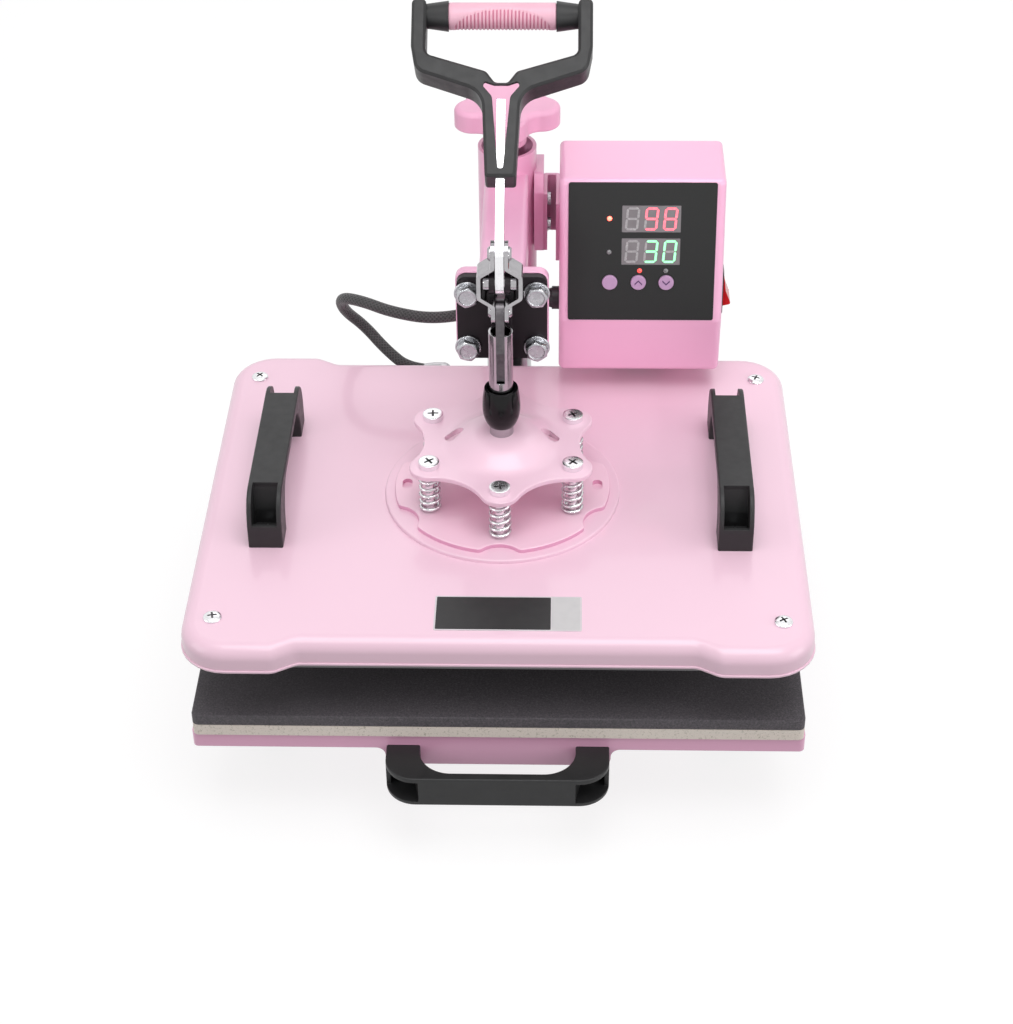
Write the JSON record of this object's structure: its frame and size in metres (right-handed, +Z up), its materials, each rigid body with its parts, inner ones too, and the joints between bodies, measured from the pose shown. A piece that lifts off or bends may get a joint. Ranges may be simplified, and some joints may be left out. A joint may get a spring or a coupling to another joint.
{
  "type": "flat heat press",
  "caption": "Swing-away flat heat press with a toggle lever, spring-mounted heated platen, digital control box and a lower platen that slides out.",
  "frame": {"origin": "middle of the footprint box, on the floor under the rubber feet", "axes": "+X to the operator's right, +Y to the back, +Z up"},
  "size_m": [0.388, 0.412, 0.4423],
  "materials": {
    "pink_paint": "gloss",
    "black_paint": "satin",
    "grey_steel": "satin",
    "zinc_steel": "satin",
    "chrome": "polished",
    "aluminium": "satin",
    "brass": "satin",
    "handle_plastic": "fine grain",
    "knob_plastic": "satin",
    "pink_plastic": "satin",
    "black_gloss": "gloss",
    "foot_rubber": "matte",
    "grip_rubber": "ribbed",
    "pad_silicone": "fine grain",
    "board_fibre": "speckled",
    "blanket_fibre": "matte",
    "panel_plastic": "gloss",
    "display_glass": "gloss",
    "led_plastic": "gloss",
    "button_plastic": "gloss",
    "rocker_plastic": "gloss",
    "circuit_resin": "satin",
    "cable_braid": "braided sleeve",
    "bush_plastic": "satin"
  },
  "bodies": {
    "base": {"base_frame": "pink_paint", "tube_end_caps": "handle_plastic", "rubber_feet": "foot_rubber", "swing_post": "chrome", "post_bolts": "zinc_steel", "stop_collar": "zinc_steel", "slide_rails": "zinc_steel", "rail_screws": "zinc_steel"},
    "drawer": {"tray_runners": "zinc_steel", "lower_tray": "pink_paint", "insulation_board": "board_fibre", "silicone_pad": "pad_silicone", "pull_handle": "handle_plastic", "pull_handle_screws": "zinc_steel"},
    "carriage": {"post_bushes": "bush_plastic"},
    "knob": {"height_knob": "pink_plastic", "knob_screw": "zinc_steel"},
    "arm": {"swing_arm": "pink_paint", "clamp_bracket": "black_paint", "clamp_bolts": "zinc_steel", "pivot_pin": "chrome", "box_bracket": "pink_paint", "bracket_screws": "zinc_steel", "box_housing": "pink_paint", "box_back_plate": "pink_paint", "control_panel": "panel_plastic", "display_modules": "display_glass", "indicator_leds": "led_plastic", "circuit_board": "circuit_resin", "switch_frame": "knob_plastic", "power_inlet": "knob_plastic", "box_cable_gland": "knob_plastic", "heater_cable": "cable_braid"},
    "lever": {"lever_bar": "zinc_steel", "lever_handle": "handle_plastic", "lever_grip": "grip_rubber"},
    "links": {"toggle_links": "chrome", "link_rivets": "chrome"},
    "plunger": {"plunger_tube": "chrome", "plunger_tongue": "zinc_steel", "plunger_pins": "zinc_steel", "barrel_sleeve": "black_gloss", "spring_plate": "pink_paint", "plunger_bolt": "zinc_steel"},
    "platen": {"platen_cover": "pink_paint", "heating_plate": "aluminium", "heating_element": "grey_steel", "insulation_blanket": "blanket_fibre", "thermostat": "brass", "cover_corner_screws": "chrome", "platen_handles": "handle_plastic", "platen_handle_screws": "zinc_steel", "spring_base_plate": "pink_paint", "shoulder_screws": "chrome", "platen_springs": "chrome", "platen_cable_gland": "chrome"},
    "set_key": {"set_button": "button_plastic"},
    "up_key": {"up_button": "button_plastic"},
    "down_key": {"down_button": "button_plastic"},
    "rocker": {"rocker_switch": "rocker_plastic"}
  },
  "joints": [
    {"name": "drawer_slide", "type": "slide", "parent": "base", "child": "drawer", "axis": [0, -1, 0], "range_m": [0, 0.15]},
    {"name": "arm_height", "type": "slide", "parent": "base", "child": "carriage", "axis": [0, 0, 1], "range_m": [0, 0.01]},
    {"name": "knob_turn", "type": "hinge", "parent": "base", "child": "knob", "pos_m": [0, 0.166, 0.325], "axis": [0, 0, 1], "range_deg": [0, 1800]},
    {"name": "arm_swing", "type": "hinge", "parent": "carriage", "child": "arm", "pos_m": [0, 0.166, 0.23], "axis": [0, 0, 1], "continuous": true},
    {"name": "lever_pull", "type": "hinge", "parent": "arm", "child": "lever", "pos_m": [0, -0.024, 0.3105], "axis": [1, 0, 0], "range_deg": [0, 180]},
    {"name": "link_swing", "type": "hinge", "parent": "lever", "child": "links", "pos_m": [0, -0.024, 0.3305], "axis": [1, 0, 0], "range_deg": [-180, 0]},
    {"name": "plunger_slide", "type": "slide", "parent": "arm", "child": "plunger", "axis": [0, 0, 1], "range_m": [-0.04, 0], "deforming": ["heater_cable"]},
    {"name": "platen_float", "type": "slide", "parent": "plunger", "child": "platen", "axis": [0, 0, 1], "range_m": [0, 0.005], "stiffness_N_per_m": 18000, "springref_m": -0.004, "deforming": ["platen_springs"]},
    {"name": "set_press", "type": "slide", "parent": "arm", "child": "set_key", "axis": [0, 0.9817, -0.1903], "range_m": [0, 0.0006], "stiffness_N_per_m": 400, "springref_m": -0.0005},
    {"name": "up_press", "type": "slide", "parent": "arm", "child": "up_key", "axis": [0, 0.9817, -0.1903], "range_m": [0, 0.0006], "stiffness_N_per_m": 400, "springref_m": -0.0005},
    {"name": "down_press", "type": "slide", "parent": "arm", "child": "down_key", "axis": [0, 0.9817, -0.1903], "range_m": [0, 0.0006], "stiffness_N_per_m": 400, "springref_m": -0.0005},
    {"name": "rocker_tilt", "type": "hinge", "parent": "arm", "child": "rocker", "pos_m": [0.144, 0.118, 0.222], "axis": [0, 1, 0], "range_deg": [0, 14]}
  ],
  "couplings": [
    {"joint": "knob_turn", "follows": "arm_height", "rad_per_m": 3141.6},
    {"joint": "link_swing", "follows": "lever_pull", "ratio": -1},
    {"joint": "plunger_slide", "follows": "lever_pull", "m_per_rad": -0.012732}
  ]
}
